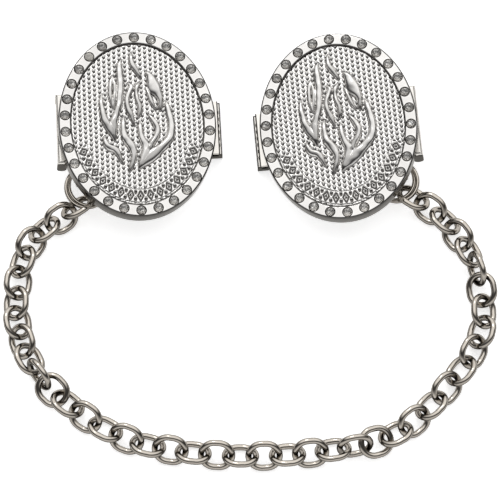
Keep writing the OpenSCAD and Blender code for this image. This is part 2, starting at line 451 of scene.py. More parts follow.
def white_paper(glow):
    """Matt white paper with a fine tooth, lit from below as a light table is."""
    made, tree, shader = new_material("white_paper")
    tooth = noise(tree, scale=1500.0, detail=4.0)
    fill(tree, shader, {
        "Base Color": ramp(tree, tooth, ((0, (0.88,) * 3), (1, (0.92,) * 3))),
        "Roughness": 0.9,
        "Emission Color": (1, 1, 1, 1),
        "Emission Strength": glow,
    })
    return made


# Face plate

RIM_POINTS = 192
# Sides of the drilled seats, the cups and the pins
ROUND_SIDES = 32
# How far wear dulls the rim's flat top
RIM_HAZE = 0.11


def oval_ring(inset, z):
    a, b = PLATE_W / 2 - inset, PLATE_L / 2 - inset
    turns = [TAU * i / RIM_POINTS for i in range(RIM_POINTS)]
    return [(a * math.cos(turn), b * math.sin(turn), z) for turn in turns]


def stone_spots():
    """Middles of the stones, evenly spaced along their oval."""
    steps = 720
    turn = np.linspace(0, TAU, steps + 1)
    x, y = STONE_A * np.cos(turn), STONE_B * np.sin(turn)
    run = np.concatenate(([0], np.cumsum(np.hypot(np.diff(x), np.diff(y)))))
    at = np.interp((np.arange(STONES) + 0.5) / STONES * run[-1], run, turn)
    return [(STONE_A * math.cos(t), STONE_B * math.sin(t)) for t in at]


def dish_mesh(edge_round, floor_drop):
    """The pressed oval dish, its section walked once round from the middle of its face."""
    top, low = PLATE_TOP, PLATE_BOTTOM
    bead = chamfer = 0.12
    floor = top - FIELD_DEPTH - floor_drop
    under = top - RIM_UNDER
    inner = RIM_W + 6
    section = [(inner, floor), (RIM_W, floor), (RIM_W, top - bead)]
    section += arc((RIM_W - bead, top - bead), bead, 0, 90, 3)[1:]
    section += arc((edge_round, top - edge_round), edge_round, 90, 180, 6)
    section += [(0, low + chamfer), (chamfer, low), (WALL_T - chamfer, low)]
    section += [(WALL_T, low + chamfer), (WALL_T, under), (inner, under)]
    bm = bmesh.new()
    mark = bm.verts.layers.float.new("recess")
    grown = skin_rings(bm, [oval_ring(inset, z) for inset, z in section])
    for ring, (inset, z) in zip(grown, section):
        # Painted shade: the outer wall is darker towards its top, and the places at or inside the rim's
        # inner edge, its step and the field's floor, get a fixed share of it; the rest gets the rim's
        # wear haze.
        painted_shade_and_haze = RIM_HAZE
        if inset < edge_round and z < top - TINY:
            painted_shade_and_haze = 0.2 + 0.7 * (z - low) / PLATE_H
        elif inset >= RIM_W - TINY:
            painted_shade_and_haze = 0.3
        for vert in ring:
            vert[mark] = painted_shade_and_haze
    bmesh.ops.recalc_face_normals(bm, faces=bm.faces)
    return bm


def seat_cutters():
    """Short drills, one for each stone."""
    length = SEAT_DEPTH + 1
    bm = bmesh.new()
    for x, y in stone_spots():
        drill = bmesh.ops.create_cone(
            bm, cap_ends=True, segments=ROUND_SIDES, radius1=SEAT_R, radius2=SEAT_R, depth=length,
        )
        middle = (x, y, PLATE_TOP - SEAT_DEPTH + length / 2)
        bmesh.ops.translate(bm, verts=drill["verts"], vec=middle)
    return bm


# Relief

# Flame relief, one stroke a tongue: (x, y, half width) from tip to tail
FLAMES = (
    (
        (-0.7, 15.8, 0.06), (-0.8, 14.6, 0.3), (-0.6, 13.2, 0.45), (0, 12, 0.45), (0.7, 10.8, 0.3),
        (1, 9.8, 0.06),
    ),
    (
        (-2.9, 14.2, 0.06), (-3.3, 12.8, 0.42), (-3.3, 10.9, 0.58), (-3.2, 8.7, 0.62), (-3.4, 6.5, 0.58),
        (-3.7, 4.2, 0.52), (-4.4, 2, 0.52), (-5, 0, 0.72), (-5.1, -1.8, 0.62), (-4.8, -3.9, 0.06),
    ),
    (
        (-7.2, 6.5, 0.06), (-7.4, 4.7, 0.36), (-7.2, 2.9, 0.48), (-6.9, 1.1, 0.58), (-6.2, -0.4, 0.65),
        (-5.5, -1.6, 0.65), (-4.8, -3.9, 0.06),
    ),
    ((-4.8, 10.5, 0.06), (-5.2, 9.2, 0.27), (-5.4, 7.4, 0.3), (-5.4, 5.6, 0.3), (-4.9, 3.3, 0.08)),
    ((-4.8, 10.5, 0.06), (-4.5, 8.9, 0.25), (-4.4, 7.4, 0.27), (-4.6, 5.6, 0.27), (-4.9, 3.3, 0.08)),
    (
        (-1.5, 8.9, 0.1), (-1, 8, 0.42), (-1.4, 6.9, 0.42), (-2, 5.3, 0.4), (-1.9, 3.5, 0.42),
        (-1.3, 1.8, 0.44), (-0.6, -0.6, 0.06),
    ),
    (
        (0.8, 9, 0.1), (0.2, 8, 0.38), (0, 6.7, 0.31), (0.2, 5.1, 0.36), (0.6, 3.8, 0.38),
        (0.6, 2.4, 0.33), (0.3, 1.4, 0.1),
    ),
    (
        (2.1, 11.5, 0.06), (3, 10.3, 0.6), (3.5, 8.9, 0.95), (3.8, 7.8, 1.15), (4.6, 6.4, 0.7),
        (5, 5.1, 0.44), (4.9, 3.7, 0.33), (4.8, 2.7, 0.06),
    ),
    ((2.1, 8, 0.08), (2.6, 6.4, 0.27), (3.2, 4.6, 0.31), (4, 2.8, 0.06)),
    (
        (6.1, 4.9, 0.06), (6.4, 3.5, 0.44), (6.7, 1.9, 0.54), (7, 0.2, 0.6), (7, -1.6, 0.62),
        (6.6, -3.2, 0.65), (5.6, -4.5, 0.7), (4.4, -5.6, 0.75), (3.3, -6.5, 0.95), (2, -7.6, 0.95),
        (0.9, -8.7, 0.62), (-0.1, -9.9, 0.06),
    ),
    (
        (2.4, 2, 0.06), (3, 1, 0.36), (3.7, -0.1, 0.46), (4.1, -1.2, 0.48), (4, -2.3, 0.48),
        (3.5, -3.4, 0.44), (2.7, -4.5, 0.46), (2.2, -5.6, 0.63),
    ),
    (
        (0.5, 0.4, 0.06), (0.5, -0.9, 0.38), (0.6, -2.5, 0.46), (1, -3.8, 0.52), (1.6, -5.1, 0.73),
        (1.6, -6.5, 0.84), (1, -7.8, 0.7), (0.3, -9, 0.38), (-0.1, -9.9, 0.06),
    ),
    (
        (-2.8, 1.5, 0.06), (-3, 0, 0.38), (-3, -1.6, 0.48), (-2.7, -3.1, 0.6), (-1.9, -4.3, 0.67),
        (-1.2, -5.6, 0.65), (-1, -6.9, 0.52), (-1.2, -8.2, 0.42), (-1.7, -9.5, 0.3), (-2.1, -10.7, 0.06),
    ),
    (
        (-6.9, -2.8, 0.06), (-6.8, -4, 0.42), (-6.2, -5.1, 0.54), (-4.9, -5.7, 0.54), (-4.2, -6.7, 0.46),
        (-3.4, -8.9, 0.06),
    ),
)
# The ground's pits
PIT_W = 0.81
PIT_H = 0.62
PIT_BEND = 0.6
# The border's place, from 0 in the field's middle to 1 at its edge, and its ends
BAND_IN = 0.80
BAND_OUT = 0.965
BAND_START = math.radians(-162)
BAND_END = math.radians(-18)
BAND_MOTIFS = 15
# Punched beads of a motif: (place along, place across, half length, half width, depth)
BEADS = ((0, 0, 0.16, 0.22, 1.6), (1, -0.52, 0.2, 0.24, 1.7), (1, 0.52, 0.2, 0.24, 1.7))


def smooth_stroke(points, step=0.08):
    """Closely spaced points along a smooth curve through a stroke's points."""
    knots = np.array(points, float)
    knots = np.vstack((2 * knots[0] - knots[1], knots, 2 * knots[-1] - knots[-2]))
    out = []
    for p0, p1, p2, p3 in zip(knots, knots[1:], knots[2:], knots[3:]):
        count = max(2, int(np.hypot(*(p2 - p1)[:2]) / step))
        out += [between(p0, p1, p2, p3, share) for share in np.arange(count) / count]
    return np.array(out)


def flame_height(x, y, rise, moat=0.08, full_half=0.6, slant=0.3):
    """Height of the flames, how far the ground beside them is clear, and their painted shade."""
    height, clear, flame_shade = (np.zeros_like(x) for _ in range(3))
    for stroke in FLAMES:
        path = smooth_stroke(stroke)
        for k, (px, py, drawn) in enumerate(path):
            half = 1.2 * max(drawn, 0.05) + 0.08
            away = np.hypot(x - px, y - py)
            near = away < half + moat
            dx, dy, away = x[near] - px, y[near] - py, away[near]
            ratio = np.clip(away / half, 0, 1)
            lean = 1 + slant * (0.4 * dx + 0.9 * dy)
            body = rise * min(1, (half / full_half) ** 0.5) * lean * np.sqrt(1 - ratio ** 3)
            bare = np.clip((half + moat - away) / moat, 0, 1) ** 0.5
            # Painted shade: a flame's middle is darker than its edges, more so towards its tail.
            core = np.clip(1.6 * (0.9 - ratio), 0, 1) * (0.15 + 0.7 * (k / len(path)) ** 2)
            for store, value in ((height, body), (clear, bare), (flame_shade, core)):
                store[near] = np.maximum(store[near], value)
    return height, clear, flame_shade


def hobnail_height(x, y, look):
    """Domes in columns, every other column shifted half a step, with a heart-shaped pit at each."""
    across, along = look.bump_across, look.bump_along
    column = np.round(x / across)
    row = np.round(y / along - 0.5 * (column % 2))
    dx = x - column * across
    dy = y - (row + 0.5 * (column % 2)) * along
    dome = 0.5 * np.cos(math.pi * dx / across) * np.cos(math.pi * dy / along)
    spread = np.hypot(dx / (PIT_W / 2), (dy - PIT_BEND * np.abs(dx)) / (PIT_H / 2))
    pit = np.clip(1.25 - spread, 0, 1)
    return look.bump_rise * (0.75 + dome) * (1 - pit)


def band_height(x, y, rise):
    """A plain border of lozenges and beads between two fine lines, low in the field."""
    ratio = np.hypot(x / FIELD_A, y / FIELD_B)
    angle = np.arctan2(y / FIELD_B, x / FIELD_A)
    inside = (ratio > BAND_IN) & (ratio < BAND_OUT) & (angle > BAND_START) & (angle < BAND_END)
    v = (ratio - (BAND_IN + BAND_OUT) / 2) / ((BAND_OUT - BAND_IN) / 2)
    place = (angle - BAND_START) / (BAND_END - BAND_START) * BAND_MOTIFS
    u = np.abs((place - np.floor(place) - 0.5) * 2)
    lozenge = u / 0.66 + np.abs(v) / 0.78
    groove = np.clip(1.5 - np.abs(lozenge - 0.88) / 0.24, 0, 1)
    for u0, v0, half_u, half_v, depth in BEADS:
        bead = np.clip(depth - np.hypot((u - u0) / half_u, (v - v0) / half_v), 0, 1)
        groove = np.maximum(groove, bead)
    height = rise * (1 - groove)
    for edge in (BAND_IN, BAND_OUT):
        away = np.abs(ratio - edge) * (FIELD_A + FIELD_B) / 2
        height = np.where(away < 0.12, 0.35 * rise, height)
    return height * inside, inside


def relief_grid(look, fine=10, over=1.02):
    """A grid over the field, its outer points drawn in to the outline, and which were inside."""
    lines = []
    for half, bump in ((FIELD_A, look.bump_across), (FIELD_B, look.bump_along)):
        step = bump / fine
        count = int(half * over / step) + 2
        lines.append(np.arange(-count, count + 1) * step)
    gx, gy = np.meshgrid(*lines, indexing="ij")
    ratio = np.hypot(gx / FIELD_A, gy / FIELD_B) / over
    pull = np.where(ratio > 1, 1 / np.maximum(ratio, 1), 1)
    return gx * pull, gy * pull, ratio <= 1


def relief_height(gx, gy, side, look):
    """Height of the relief over its floor, and how much painted shade it gets."""
    design_x = -gx if side else gx
    flames, clear, flame_shade = flame_height(design_x, gy, look.flame_rise)
    waves = np.sin(1.9 * gx + 0.9 * gy) + np.sin(2.6 * gy - 1.1 * gx)
    flames = flames * (1 + 0.03 * waves)
    band, in_band = band_height(design_x, gy, look.band_rise)
    ground = hobnail_height(gx, gy, look)
    ground = np.where(in_band, 0, ground) * (1 - clear)
    border = np.clip((0.995 - np.hypot(gx / FIELD_A, gy / FIELD_B)) * 60, 0, 1)
    height = np.maximum(np.maximum(ground, band) * border, flames)
    # Painted shade: the lower a point lies, the darker it is, less so near the field's edge.
    recess = np.clip(1.3 - height / (0.6 * look.bump_rise), 0, 1) * (0.3 + 0.7 * border)
    # Painted shade: dark outlines at the flames' feet.
    low_flame = np.clip(1.4 - flames / 0.3, 0, 1)
    recess = np.where(flames > 0.05, np.maximum(low_flame, flame_shade), recess)
    return height, recess * look.recess


def relief_mesh(side, look, thickness=0.35):
    """The sunk field's face as one closed sheet: hobnail ground, flames and border."""
    gx, gy, kept = relief_grid(look)
    height, recess = relief_height(gx, gy, side, look)
    cell = kept[:-1, :-1] | kept[1:, :-1] | kept[:-1, 1:] | kept[1:, 1:]
    floor = PLATE_TOP - FIELD_DEPTH
    bm = bmesh.new()
    mark = bm.verts.layers.float.new("recess")
    top, low = {}, {}

    def corner(i, j, store):
        if (i, j) not in store:
            z = floor + height[i, j] if store is top else floor - thickness
            store[i, j] = bm.verts.new((gx[i, j], gy[i, j], z))
            store[i, j][mark] = recess[i, j] if store is top else 0
        return store[i, j]

    for i, j in zip(*np.nonzero(cell)):
        ring = ((i, j), (i + 1, j), (i + 1, j + 1), (i, j + 1))
        beside = ((i, j - 1), (i + 1, j), (i, j + 1), (i - 1, j))
        bm.faces.new([corner(*p, top) for p in ring])
        for one, two, away in zip(ring, ring[1:] + ring[:1], beside):
            if not cell[away]:
                wall = ((one, top), (one, low), (two, low), (two, top))
                bm.faces.new([corner(*p, store) for p, store in wall])
    bottom = set(low.values())
    rim = [e for e in bm.edges if len(e.link_faces) == 1 and bottom.issuperset(e.verts)]
    bmesh.ops.contextual_create(bm, geom=rim)
    return bm


# Crystals

# Facets round the table
CUT = 8
GIRDLE_R = 0.93
# How far a stone may lean in its seat, in degrees
STONE_LEAN = 7
# Section of the thin collar and the shallow cup that hold a crystal, as (radius, height)
CUP_SECTION = (
    (SEAT_R - 0.01, -0.06), (SEAT_R - 0.04, -0.03), (SEAT_R - 0.08, -0.06),
    (SEAT_R - 0.1, -0.16), (0.7, -0.34), (0.05, -0.46),
    (0.05, -0.49), (SEAT_R - 0.01, -0.49),
)


def ring_at(radius, z, count, turn=0.0):
    turns = [TAU * (k + turn) / count for k in range(count)]
    return [Vector((radius * math.cos(angle), radius * math.sin(angle), z)) for angle in turns]


def add_crystal(bm, spot, turn, lean, lean_way, rise):
    """A round brilliant: table, stars, kites and halves above, foiled cone below."""
    table = ring_at(0.52, rise, CUT, 0.5)
    kite = ring_at(0.8, rise * 0.58, CUT)
    girdle = ring_at(GIRDLE_R, rise * 0.18, 2 * CUT)
    lower = ring_at(GIRDLE_R, rise * 0.02, 2 * CUT)
    base = ring_at(0.55, -0.16, CUT, 0.5)
    culet = Vector((0, 0, -0.32))
    move = (
        Matrix.Translation(spot)
        @ Matrix.Rotation(lean_way, 4, "Z")
        @ Matrix.Rotation(lean, 4, "X")
        @ Matrix.Rotation(turn, 4, "Z")
    )
    made = {}

    def vert(p):
        key = tuple(round(c, 5) for c in p)
        if key not in made:
            made[key] = bm.verts.new(move @ p)
        return made[key]

    def face(points, slot):
        grown = bm.faces.new([vert(p) for p in points])
        grown.material_index = slot

    face(table, 0)
    for k in range(CUT):
        before, after = (k - 1) % CUT, (k + 1) % CUT
        face((table[before], table[k], kite[k]), 0)
        face((table[k], kite[k], girdle[2 * k + 1], kite[after]), 0)
        face((kite[k], girdle[2 * k - 1], girdle[2 * k]), 0)
        face((kite[k], girdle[2 * k], girdle[2 * k + 1]), 0)
        face((base[k], base[before], culet), 1)
        face((base[before], base[k], lower[2 * k]), 1)
        face((base[k], lower[2 * k], lower[2 * k + 1]), 2)
        face((base[k], lower[2 * k + 1], lower[(2 * k + 2) % (2 * CUT)]), 2)
    for k in range(2 * CUT):
        after = (k + 1) % (2 * CUT)
        face((girdle[k], girdle[after], lower[after], lower[k]), 0)


def make_milky(bm, first):
    """Gives the stone whose faces start at the first one milky glass over plain foil."""
    bm.faces.ensure_lookup_table()
    for face in bm.faces[first:]:
        face.material_index = 3 if face.material_index == 0 else 1


def add_cup(bm, spot):
    """The dark setting that a crystal sits in: a thin collar over a shallow cup."""
    rings = [[p + Vector(spot) for p in ring_at(r, z, ROUND_SIDES)] for r, z in CUP_SECTION]
    skin_rings(bm, rings, closed=True)


# Clip mechanism

# Width of the painted shade along the jaw's edges
SHADE_EDGE_WIDTH = 0.28
LIP_TOP = 2.15
LIP_SKIN = 0.35
TEETH = 7
TOOTH_PITCH = 1.45
TOOTH_GAP = 0.75
TOOTH_DEPTH = 0.6
HOOK_ANGLE = math.radians(222.5)
# Section of the pin's head: (radius, height over the ear)
PIN_HEAD = ((0.05, 0.35), (0.6, 0.31), (0.95, 0.22), (1.13, 0.08), (1.1, 0))
SPRING_R = 1.25
SPRING_WIRE_R = 0.33
SPRING_ARM_R = 0.3
SPRING_HALF = 3.1
RING_R = 4.45
RING_WIRE_R = 0.4
RING_REACH = 15.6
RING_ANGLE = math.radians(225.5)
RING_Z = 2.45
RING_TILT = math.radians(3)


def walls(half):
    """Low and high Y of the two sheet walls whose outer sides are half a width from the middle."""
    return [sorted((flip * half, flip * (half - SHEET_T))) for flip in (-1, 1)]


def channel_mesh():
    """The back channel: web under the plate, ears turned down from it at the hinge."""
    half, jaw = CHANNEL_W / 2, JAW_W / 2
    top = WEB_Z + SHEET_T
    end, neck = JAW_X - 0.6, NECK_X + 0.8
    thumb_z, ear_z = 2.4, 4.1
    round_r, corner = 1, 0.6
    web = [
        (THUMB_X, -half), (NECK_X, -half), (neck, -jaw), (end, -jaw),
        (end, jaw), (neck, jaw), (NECK_X, half), (THUMB_X, half),
    ]
    step = THUMB_X + 2 * round_r
    ear = [(THUMB_X, top), (THUMB_X, thumb_z)]
    ear += arc((THUMB_X + round_r, thumb_z), round_r, 180, 360, 10)[1:]
    ear += [(step, ear_z - corner)]
    ear += arc((step + corner, ear_z - corner), corner, 180, 90, 4)[1:]
    ear += [(HINGE_X - EAR_R, ear_z)]
    ear += arc((HINGE_X, HINGE_Z), EAR_R, 180, 360, 20)
    ear += [(NECK_X, top)]
    ears = [slab(ear, low, high, upright=True) for low, high in walls(half)]
    bm = carve(slab(web, WEB_Z, top), ears, "UNION")
    bm = carve(bm, [cross_drill(PIN_R + 0.02)], "DIFFERENCE")
    soften(bm, 0.12, SHEET_T - 0.05, lambda co: abs(co.y) > half - TINY and co.z > top - TINY)
    score(bm, [((end - SHADE_EDGE_WIDTH, 0, 0), (1, 0, 0))])

    # Painted shade: the ears' outer sides and a strip at the web's jaw end are darkened, standing for
    # the shadowed table they reflect and the dark line along a sheet's edge.
    def painted_shade_and_haze(co):
        ear_outside = abs(co.y) > half - 0.05 and co.z < top - 0.3
        jaw_edge = co.x > end - SHADE_EDGE_WIDTH + TONE_STEP / 2
        return 1 if ear_outside or jaw_edge else 0

    mark_painted_shade(bm, painted_shade_and_haze)
    return bm


def hook_mesh():
    """The bent wire under the plate's edge, in the upright plane that points at the ring."""
    bend = 0.9
    near, far, end = 9.8, 13.5, 18.2
    low, high = 0.5, 5.65
    flat = [(near, high), (near, low + bend)]
    flat += arc((near + bend, low + bend), bend, 180, 270, 6)[1:]
    flat += arc((far - bend, low + bend), bend, 270, 360, 6)
    flat += arc((far + bend, high - bend), bend, 180, 90, 6)
    flat += [(end, high), (end + 0.18, high), (end + 0.26, high)]
    path = [(r * math.cos(HOOK_ANGLE), r * math.sin(HOOK_ANGLE), z) for r, z in flat]
    return wire(path, 0.45, tip=(0.38, 0.2))


def lever_mesh():
    """The lever: base on the table, side walls, cheeks at the hinge and toothed jaw lip."""
    thumb, jaw = THUMB_W / 2, JAW_W / 2
    corner = 1.2
    middle = THUMB_X + 0.9 + corner
    neck = NECK_X + 0.6
    wall_low, wall_top = 0.1, 1.5
    cheek_foot = 3.2
    base = [
        (NECK_X, -thumb), (neck, -jaw), (JAW_X, -jaw),
        (JAW_X, jaw), (neck, jaw), (NECK_X, thumb),
    ]
    base += arc((middle, thumb - corner), corner, 90, 180, 5)
    base += arc((middle, corner - thumb), corner, 180, 270, 5)
    cheek = [(HINGE_X + cheek_foot, wall_low), (HINGE_X + CHEEK_R, HINGE_Z)]
    cheek += arc((HINGE_X, HINGE_Z), CHEEK_R, 0, 180, 18)[1:]
    cheek += [(HINGE_X - cheek_foot, wall_low)]
    parts = []
    for wall, cheek_wall in zip(walls(jaw), walls(thumb)):
        parts.append(box(NECK_X + 1, JAW_X, *wall, wall_low, wall_top))
        parts.append(slab(cheek, *cheek_wall, upright=True))
    lip = JAW_X - SHEET_T
    parts.append(box(lip, JAW_X, -jaw, jaw, wall_low, LIP_TOP))
    cutters = [cross_drill(PIN_R + 0.05)]
    for k in range(TEETH - 1):
        y = (k - (TEETH - 2) / 2) * TOOTH_PITCH
        low, high = y - TOOTH_GAP / 2, y + TOOTH_GAP / 2
        cutters.append(box(lip - 1, JAW_X - LIP_SKIN, low, high, LIP_TOP - TOOTH_DEPTH, 4))
    bm = carve(slab(base, 0, SHEET_T), parts, "UNION")
    bm = carve(bm, cutters, "DIFFERENCE")
    soften(bm, 0.1, 0.45, lambda co: abs(co.y) > thumb - TINY and co.z < TINY)
    score(bm, [((JAW_X - SHADE_EDGE_WIDTH, 0, 0), (1, 0, 0))])
    score(bm, [((0, way * (jaw - SHADE_EDGE_WIDTH), 0), (0, way, 0)) for way in (1, -1)])

    # Painted shade: a strip along the jaw's end and sides is darkened, for the dark line along a sheet's
    # edge.
    def painted_shade_and_haze(co):
        inside = min(JAW_X - co.x, jaw - abs(co.y))
        return 1 if co.x >= NECK_X + 1 and inside < SHADE_EDGE_WIDTH - TONE_STEP / 2 else 0

    mark_painted_shade(bm, painted_shade_and_haze)
    return bm


def pin_mesh():
    """The hinge pin, with a low domed head peened over each ear."""
    half = CHANNEL_W / 2 + 0.05
    end = [(radius, -half - rise) for radius, rise in PIN_HEAD]
    end += [(PIN_R, -half + 0.02)]
    section = end + [(radius, -y) for radius, y in reversed(end)]
    rings = [
        [(HINGE_X + p.x, y, HINGE_Z + p.y) for p in ring_at(radius, 0, ROUND_SIDES)]
        for radius, y in section
    ]
    bm = bmesh.new()
    skin_rings(bm, rings)
    return bm


def coil_path(start_y, end_y, start, turns, per_turn=20):
    """A coil round the hinge pin, its angle measured from +X towards +Z."""
    count = int(turns * per_turn)
    path = []
    for k in range(count + 1):
        angle = start + TAU * turns * k / count
        x, z = HINGE_X + SPRING_R * math.cos(angle), HINGE_Z + SPRING_R * math.sin(angle)
        path.append((x, start_y + (end_y - start_y) * k / count, z))
    return path


def spring_path():
    """The coil, and its arm under the web towards the thumb end."""
    end = SPRING_HALF - 0.35
    coil = coil_path(end, -end, -math.pi / 2, turns=7.5)
    x, y, _ = coil[-1]
    return coil + [(x - d, y, HINGE_Z + SPRING_R) for d in (0.6, 2, 4, 6, 7.9)]


def spring_arm_path():
    """The coil's last turn, and its arm down to the lever."""
    y = SPRING_HALF + 0.45
    slope = math.radians(8.5)
    turn = coil_path(y, y, math.radians(-80) - TAU * 0.9, turns=0.9)
    x, _, z = turn[-1]
    run, fall = math.cos(slope), math.sin(slope)
    return turn + [(x - d * run, y, z - d * fall) for d in (0.8, 2, 4, 6, 7.7)]


def ring_path(start, steps=160):
    """A split ring's two turns: the first lies low, the second over it and pushed outward."""
    path = []
    for k in range(steps + 1):
        turns = 1.97 * k / steps
        rise = min(max((turns - 0.86) / 0.25, 0), 1)
        rise = rise * rise * (3 - 2 * rise) - 0.5
        angle = start + TAU * turns
        x, y = RING_R * math.cos(angle), RING_R * math.sin(angle)
        path.append((x + 0.8 * rise, y, 0.72 * rise))
    return path


# Chain, along its route on the table

ROUTE_START = (-27.3, 15.0)
ROUTE = (
    (-35.9, 9.1), (-45.3, 1.4), (-48, -11.4), (-45, -23.2), (-37, -32.5),
    (-25, -39.7), (-11.5, -42.6), (2.8, -43.2), (16.7, -42), (29.4, -38.7),
    (39.9, -29.3), (47.3, -17.5), (46.6, -4.3), (40.4, 6.3), (30.4, 13.6),
)
LINKS = 42
LINKS_PER_STRETCH = 3
CHAIN_TWISTS = (11, 26, 37)
LINK_L = 7.6
LINK_W = 6.7
WIRE_R = 0.65
BEND_R = LINK_W / 2 - WIRE_R
STRAIGHT = LINK_L - LINK_W
LINK_LEAN = 39
USUAL_HEIGHT = WIRE_R + BEND_R * math.sin(math.radians(LINK_LEAN))
# Links that lie otherwise, as link: (lean, height, dip)
TWISTED_LINKS = {
    1: (48, 2.66, 0),
    11: (74, 3.25, 0), 12: (18, 2.3, 8),
    26: (64, 3.08, 0), 27: (18, 2.35, 10),
    36: (-28, 2.45, -9), 37: (-74, 3.25, 0),
}


def route_point(i):
    """A point of the route, with one made up beyond each end."""
    if i < 0:
        return Vector(ROUTE_START)
    if i >= len(ROUTE):
        return 2 * Vector(ROUTE[-1]) - Vector(ROUTE[-2])
    return Vector(ROUTE[i])


def link_spot(i):
    """Middle of link i, on a smooth curve through the route's points."""
    way = (i - 1) / LINKS_PER_STRETCH
    k = math.floor(way)
    return between(*(route_point(n) for n in (k - 1, k, k + 1, k + 2)), way - k)


def link_place(i):
    """Matrix from a flat link to where link i lies."""
    twists = sum(1 for twist in CHAIN_TWISTS if i > twist)
    usual = LINK_LEAN if (i + twists) % 2 else -LINK_LEAN
    lean, height, dip = TWISTED_LINKS.get(i, (usual, USUAL_HEIGHT, 0))
    spot = link_spot(i)
    step = link_spot(i + 1) - link_spot(i - 1)
    at = Vector((spot.x - WHOLE_MIDDLE[0], spot.y - WHOLE_MIDDLE[1], height))
    return (
        Matrix.Scale(MM, 4)
        @ Matrix.Translation(at)
        @ Matrix.Rotation(math.atan2(step.y, step.x), 4, "Z")
        @ Matrix.Rotation(math.radians(dip), 4, "Y")
        @ Matrix.Rotation(math.radians(lean), 4, "X")
    )


def link_mesh():
    """A flat oval link of round wire."""
    half = arc((STRAIGHT / 2, 0), BEND_R, -90, 90, 24)
    path = [(way * x, way * y, 0) for way in (1, -1) for x, y in half]
    return wire(path, WIRE_R, closed=True)


# Stage

# Side of the picture in points
PICTURE = 500
# Points that the camera looks at and that the lamp stands at, in metres
TARGET = Vector((0, 0, 0.0025))
LAMP_PLACE = Vector((-0.1, 0.44, 0.56))
# The light tent from its low front, over its dark opening, to its bright top and back
TENT_LIGHT = (
    (-0.2, 0.85), (0.1, 0.3), (0.4, 0.05), (0.6, 0.05), (0.74, 0.07), (0.94, 0.55), (1.12, 1.0),
)


def add_aimed(thing, direction):
    """Puts a camera or lamp in the scene, looking along a direction with its top upwards."""
    thing.rotation_mode = "QUATERNION"
    thing.rotation_quaternion = direction.to_track_quat("-Z", "Y")
    bpy.context.scene.collection.objects.link(thing)


def add_camera(look):
    back = Vector((0, -math.cos(look.elevation), math.sin(look.elevation)))
    data = bpy.data.cameras.new("camera")
    data.sensor_width = 36
    data.lens = data.sensor_width * look.distance / (look.pixel * PICTURE)
    data.clip_start = 0.01
    data.clip_end = 10
    camera = bpy.data.objects.new("camera", data)
    camera.location = TARGET + back * look.distance
    add_aimed(camera, -back)
    bpy.context.scene.camera = camera


def add_floor(look, half=2):
    corners = [(-half, -half, 0), (half, -half, 0), (half, half, 0), (-half, half, 0)]
    mesh = bpy.data.meshes.new("floor")
    mesh.from_pydata(corners, [], [range(4)])
    mesh.materials.append(white_paper(look.glow))
    floor = bpy.data.objects.new("floor", mesh)
    bpy.context.scene.collection.objects.link(floor)


def add_tent(look):
    """A tent of light, as bright as a ray points up and to the back, and a little to the sides."""
    scene = bpy.context.scene
    scene.world = scene.world or bpy.data.worlds.new("studio")
    scene.world.use_nodes = True
    tree = scene.world.node_tree
    ray = split_place(tree, "Generated")
    aside = work_out(tree, "ABSOLUTE", ray["X"])
    behind = work_out(tree, "MULTIPLY_ADD", ray["Y"], look.back_light, ray["Z"])
    total = work_out(tree, "MULTIPLY_ADD", aside, look.side_light, behind)
    first, last = TENT_LIGHT[0][0], TENT_LIGHT[-1][0]
    spread = map_range(tree, total, 0, 1, first, last)
    stops = [((place - first) / (last - first), (level,) * 3) for place, level in TENT_LIGHT]
    inputs = {"Color": ramp(tree, spread, stops), "Strength": look.strength}
    fill(tree, tree.nodes["Background"], inputs)


def add_lamp():
    light = bpy.data.lights.new("softbox", "AREA")
    light.shape = "RECTANGLE"
    light.size = light.size_y = 0.14
    light.energy = 0.45
    lamp = bpy.data.objects.new("softbox", light)
    lamp.location = LAMP_PLACE
    add_aimed(lamp, -LAMP_PLACE)


# Settings

def tint(name, description, default):
    return bpy.props.FloatVectorProperty(
        name=name, description=description, default=default, subtype="COLOR", min=0, max=1,
    )


def number(name, description, default, **limits):
    return bpy.props.FloatProperty(name=name, description=description, default=default, **limits)


def size(name, description, default):
    """A size in millimetres."""
    return number(name, description, default, min=0)


def share(name, description, default):
    """A share from 0 to 1."""
    return number(name, description, default, min=0, max=1)


class PlateSettings(bpy.types.PropertyGroup):
    """Look of the oval face plates."""
    colour: tint("Plate colour", "Colour of the bright plating", (0.74, 0.725, 0.705))
    # Colour of the painted shade in the relief and on the dish's walls and field, and of the rim's faint
    # haze
    recess_colour: tint("Recess colour", "Colour deep in the relief", (0.035, 0.032, 0.029))
    roughness: share("Roughness", "How dull the plating is", 0.16)
    edge_round: size("Edge rounding", "Radius of the rim's outer edge, in mm", 0.35)
    bump_across: size("Bump step across", "Between the bumps' columns, in mm", 1.08)
    bump_along: size("Bump step along", "Between bumps in a column, in mm", 1.04)
    bump_rise: size("Bump height", "Height of the ground's small bumps, in mm", 0.3)
    flame_rise: size("Flame height", "Height of the flames over the field, in mm", 0.8)
    band_rise: size("Border height", "Height of the lozenge border, in mm", 0.35)
    # How strong the relief's painted shade is
    recess: number(
        "Recess strength", "How far the deep places are darkened", 0.9,
        min=0, max=1, subtype="FACTOR",
    )


class CrystalSettings(bpy.types.PropertyGroup):
    """Look of the rim's crystals and their settings."""
    colour: tint("Crystal colour", "Tint of the clear glass", (0.97, 0.96, 0.94))
    milky: tint("Milky colour", "Tint of a stone gone milky", (0.84, 0.81, 0.75))
    foil: tint("Foil colour", "Colour of the foil behind the glass", (0.9, 0.89, 0.87))
    worn_foil: tint("Worn foil colour", "Colour of foil near a rim", (0.82, 0.795, 0.765))
    setting: tint("Setting colour", "Colour of the stones' cups", (0.2, 0.19, 0.175))
    pale_stone: bpy.props.IntProperty(
        name="Milky stone", description="Which of the left clip's stones has gone milky",
        default=10, min=0,
    )


